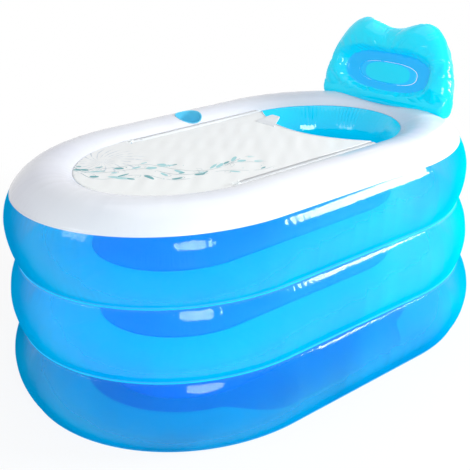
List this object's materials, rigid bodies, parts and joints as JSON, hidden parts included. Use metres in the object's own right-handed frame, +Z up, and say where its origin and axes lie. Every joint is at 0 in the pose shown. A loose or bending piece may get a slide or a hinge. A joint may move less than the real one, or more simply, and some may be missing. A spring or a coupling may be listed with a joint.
{
  "type": "inflatable bathtub",
  "caption": "Oval inflatable bathtub of stacked air rings with a zipped cover, a cup holder in the rim and a backrest cushion.",
  "frame": {"origin": "on the ground under the middle of the tub", "axes": "+X towards the head end with the backrest, +Y towards the side with the cup holder, +Z up"},
  "size_m": [1.571, 1.0404, 0.9139],
  "materials": {
    "ring_blue": "glossy translucent film",
    "clear_cyan": "glossy translucent film",
    "rim_white": "satin film with a pale printed vine band",
    "cover_white": "satin film",
    "valve_clear": "clear moulded plastic",
    "moulded_white": "moulded plastic",
    "base_blue": "matt film"
  },
  "bodies": {
    "tub": {"ground_sheet": "base_blue", "lower_outer_wall": "ring_blue", "lower_bath_wall": "ring_blue", "lower_web": "clear_cyan", "middle_outer_wall": "ring_blue", "middle_bath_wall": "ring_blue", "upper_web": "clear_cyan", "upper_outer_wall": "ring_blue", "upper_bath_wall": "ring_blue", "rim_film": "rim_white", "floor_film": "clear_cyan", "near_floor_beam": "clear_cyan", "near_middle_floor_beam": "clear_cyan", "far_middle_floor_beam": "clear_cyan", "far_floor_beam": "clear_cyan", "cover_foot_panel": "cover_white", "far_zip_rim_tape": "rim_white", "near_zip_rim_tape": "rim_white", "far_zip_foot_tape": "rim_white", "near_zip_foot_tape": "rim_white", "far_zip_end_stop": "moulded_white", "near_zip_end_stop": "moulded_white", "cup_holder": "clear_cyan", "backrest_patch": "rim_white", "lower_valve_base": "valve_clear", "middle_valve_base": "valve_clear", "upper_valve_base": "valve_clear", "floor_valve_base": "valve_clear", "drain_sleeve": "moulded_white", "drain_outlet": "moulded_white"},
    "cover_flap": {"cover_flap": "cover_white", "cover_hem": "cover_white", "cover_pull_tab": "rim_white", "far_zip_cover_tape": "rim_white", "near_zip_cover_tape": "rim_white"},
    "far_zip_slider": {"far_zip_slider": "moulded_white"},
    "far_zip_pull": {"far_zip_pull": "moulded_white"},
    "near_zip_slider": {"near_zip_slider": "moulded_white"},
    "near_zip_pull": {"near_zip_pull": "moulded_white"},
    "backrest": {"backrest_chamber": "clear_cyan", "backrest_membrane": "clear_cyan", "backrest_valve_base": "valve_clear"},
    "lower_valve_stem": {"lower_valve_stem": "valve_clear"},
    "lower_valve_cap": {"lower_valve_cap": "valve_clear"},
    "middle_valve_stem": {"middle_valve_stem": "valve_clear"},
    "middle_valve_cap": {"middle_valve_cap": "valve_clear"},
    "upper_valve_stem": {"upper_valve_stem": "valve_clear"},
    "upper_valve_cap": {"upper_valve_cap": "valve_clear"},
    "floor_valve_stem": {"floor_valve_stem": "valve_clear"},
    "floor_valve_cap": {"floor_valve_cap": "valve_clear"},
    "backrest_valve_stem": {"backrest_valve_stem": "valve_clear"},
    "backrest_valve_cap": {"backrest_valve_cap": "valve_clear"},
    "drain_cap": {"drain_cap": "moulded_white"},
    "drain_plug": {"drain_plug": "moulded_white"}
  },
  "joints": [
    {"name": "cover_flap_fold", "type": "hinge", "parent": "tub", "child": "cover_flap", "pos_m": [-0.2155, 0, 0.6305], "axis": [0, -1, 0], "range_deg": [0, 150]},
    {"name": "backrest_lean", "type": "hinge", "parent": "tub", "child": "backrest", "pos_m": [0.6, 0, 0.6645], "axis": [0, 1, 0], "range_deg": [-30, 20], "stiffness_Nm_per_rad": 15},
    {"name": "far_zip_run", "type": "slide", "parent": "tub", "child": "far_zip_slider", "axis": [1, 0, 0], "range_m": [0, 0.5]},
    {"name": "far_zip_pull_swing", "type": "hinge", "parent": "far_zip_slider", "child": "far_zip_pull", "pos_m": [-0.2454, 0.27205, 0.63545], "axis": [0, 1, 0], "range_deg": [0, 170]},
    {"name": "near_zip_run", "type": "slide", "parent": "tub", "child": "near_zip_slider", "axis": [1, 0, 0], "range_m": [0, 0.5]},
    {"name": "near_zip_pull_swing", "type": "hinge", "parent": "near_zip_slider", "child": "near_zip_pull", "pos_m": [-0.2454, -0.27205, 0.63545], "axis": [0, 1, 0], "range_deg": [0, 170]},
    {"name": "lower_valve_pull_out", "type": "slide", "parent": "tub", "child": "lower_valve_stem", "axis": [0.7817, 0.622, 0.0444], "range_m": [0, 0.013]},
    {"name": "lower_valve_cap_hinge", "type": "hinge", "parent": "lower_valve_stem", "child": "lower_valve_cap", "pos_m": [0.67555, 0.32021, 0.11469], "axis": [0.6226, -0.7825, 0], "range_deg": [0, 150]},
    {"name": "middle_valve_pull_out", "type": "slide", "parent": "tub", "child": "middle_valve_stem", "axis": [0.7807, 0.6212, 0.0688], "range_m": [0, 0.013]},
    {"name": "middle_valve_cap_hinge", "type": "hinge", "parent": "middle_valve_stem", "child": "middle_valve_cap", "pos_m": [0.66175, 0.30924, 0.31864], "axis": [0.6226, -0.7825, 0], "range_deg": [0, 150]},
    {"name": "upper_valve_pull_out", "type": "slide", "parent": "tub", "child": "upper_valve_stem", "axis": [0.7779, 0.619, 0.1082], "range_m": [0, 0.013]},
    {"name": "upper_valve_cap_hinge", "type": "hinge", "parent": "upper_valve_stem", "child": "upper_valve_cap", "pos_m": [0.65184, 0.30135, 0.54031], "axis": [0.6226, -0.7825, 0], "range_deg": [0, 150]},
    {"name": "floor_valve_pull_out", "type": "slide", "parent": "tub", "child": "floor_valve_stem", "axis": [0, 0, 1], "range_m": [0, 0.013]},
    {"name": "floor_valve_cap_hinge", "type": "hinge", "parent": "floor_valve_stem", "child": "floor_valve_cap", "pos_m": [-0.2436, 0, 0.0719], "axis": [0, 1, 0], "range_deg": [0, 150]},
    {"name": "backrest_valve_pull_out", "type": "slide", "parent": "backrest", "child": "backrest_valve_stem", "axis": [0.975, 0.1294, -0.1806], "range_m": [0, 0.013]},
    {"name": "backrest_valve_cap_hinge", "type": "hinge", "parent": "backrest_valve_stem", "child": "backrest_valve_cap", "pos_m": [0.67096, 0.20755, 0.75442], "axis": [0.1258, -0.9916, -0.0314], "range_deg": [0, 150]},
    {"name": "drain_cap_off", "type": "slide", "parent": "tub", "child": "drain_cap", "axis": [-0.5387, 0.8425, 0], "range_m": [0, 0.02]},
    {"name": "drain_plug_out", "type": "slide", "parent": "tub", "child": "drain_plug", "axis": [0.5387, -0.8425, 0], "range_m": [0, 0.03]}
  ]
}
